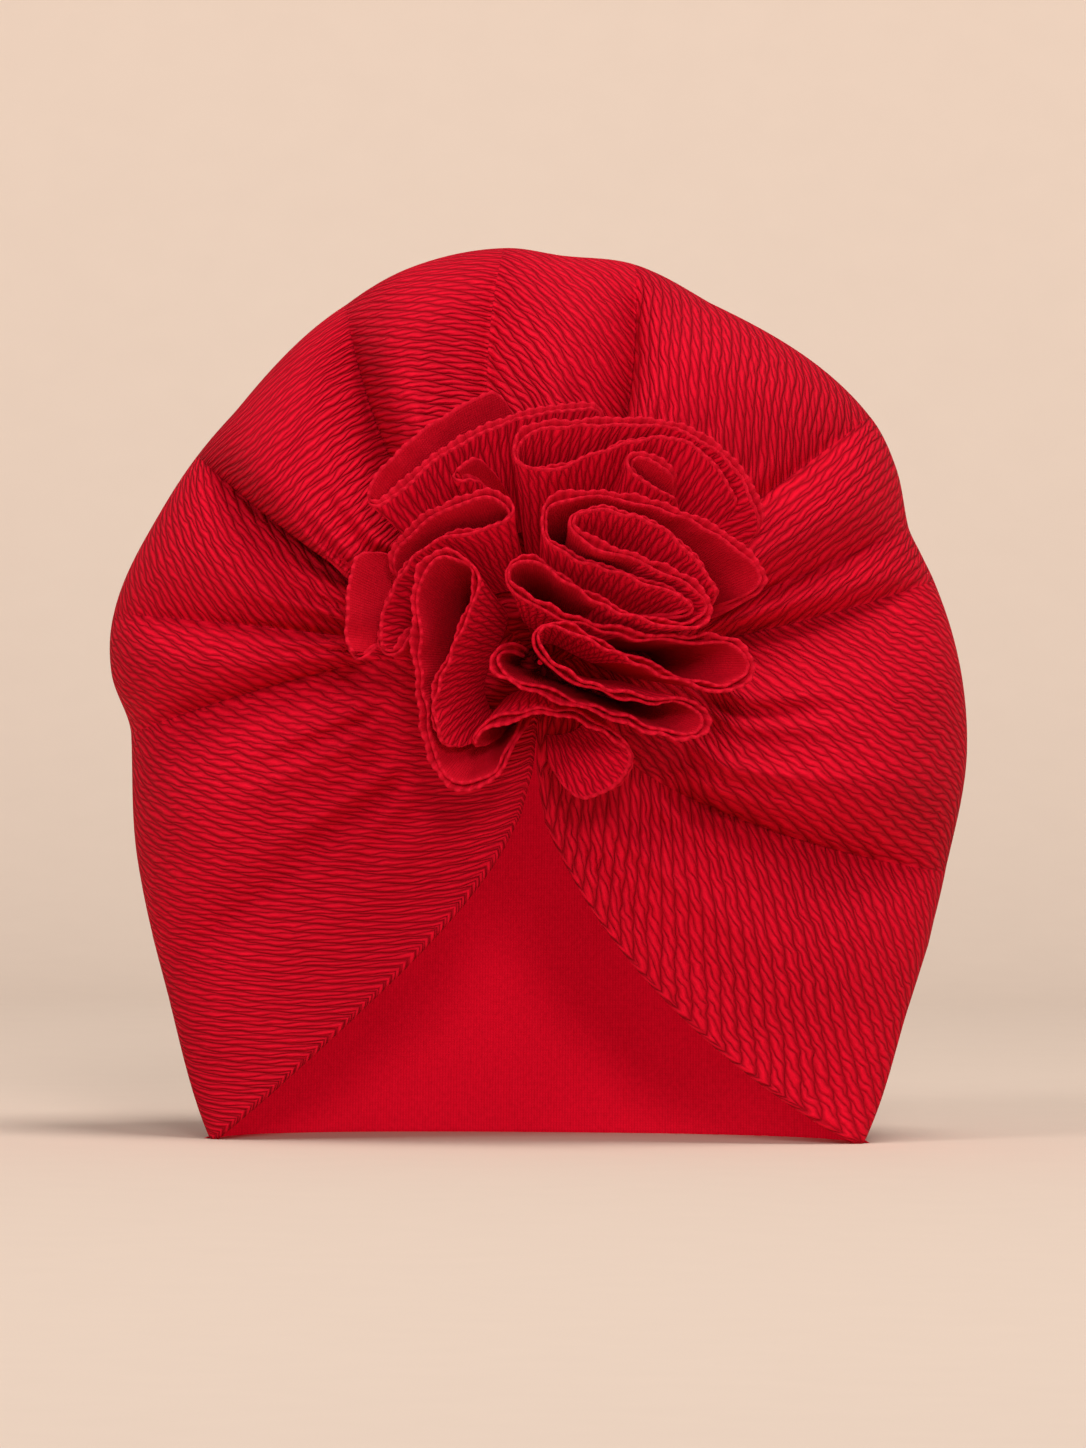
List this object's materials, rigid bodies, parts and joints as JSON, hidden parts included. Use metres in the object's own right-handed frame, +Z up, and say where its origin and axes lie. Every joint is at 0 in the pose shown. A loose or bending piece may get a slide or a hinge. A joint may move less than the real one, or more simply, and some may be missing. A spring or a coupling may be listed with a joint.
{
  "type": "turban hat",
  "caption": "Child's turban hat: a crinkled knit wrap gathered to a ruffled flower at the front, with a plain back panel and an open V at the brow.",
  "frame": {"origin": "middle of the hat's footprint box on the floor that its hem rests on", "axes": "+Z up, +X to the right seen from the front, the flower faces -Y"},
  "size_m": [0.1894, 0.1172, 0.1962],
  "materials": {
    "crinkle_knit": "matt knitted cloth with raised twisted ribs, red"
  },
  "bodies": {
    "root": {"crown_front": "crinkle_knit", "crown_back": "crinkle_knit", "ruffle_front": "crinkle_knit", "ruffle_cup": "crinkle_knit", "ruffle_top_roll": "crinkle_knit", "ruffle_top_leaf": "crinkle_knit", "ruffle_back_upper": "crinkle_knit", "ruffle_small": "crinkle_knit", "ruffle_left_upper": "crinkle_knit", "ruffle_left_back": "crinkle_knit", "ruffle_left_tall": "crinkle_knit", "ruffle_lower": "crinkle_knit"}
  },
  "joints": []
}
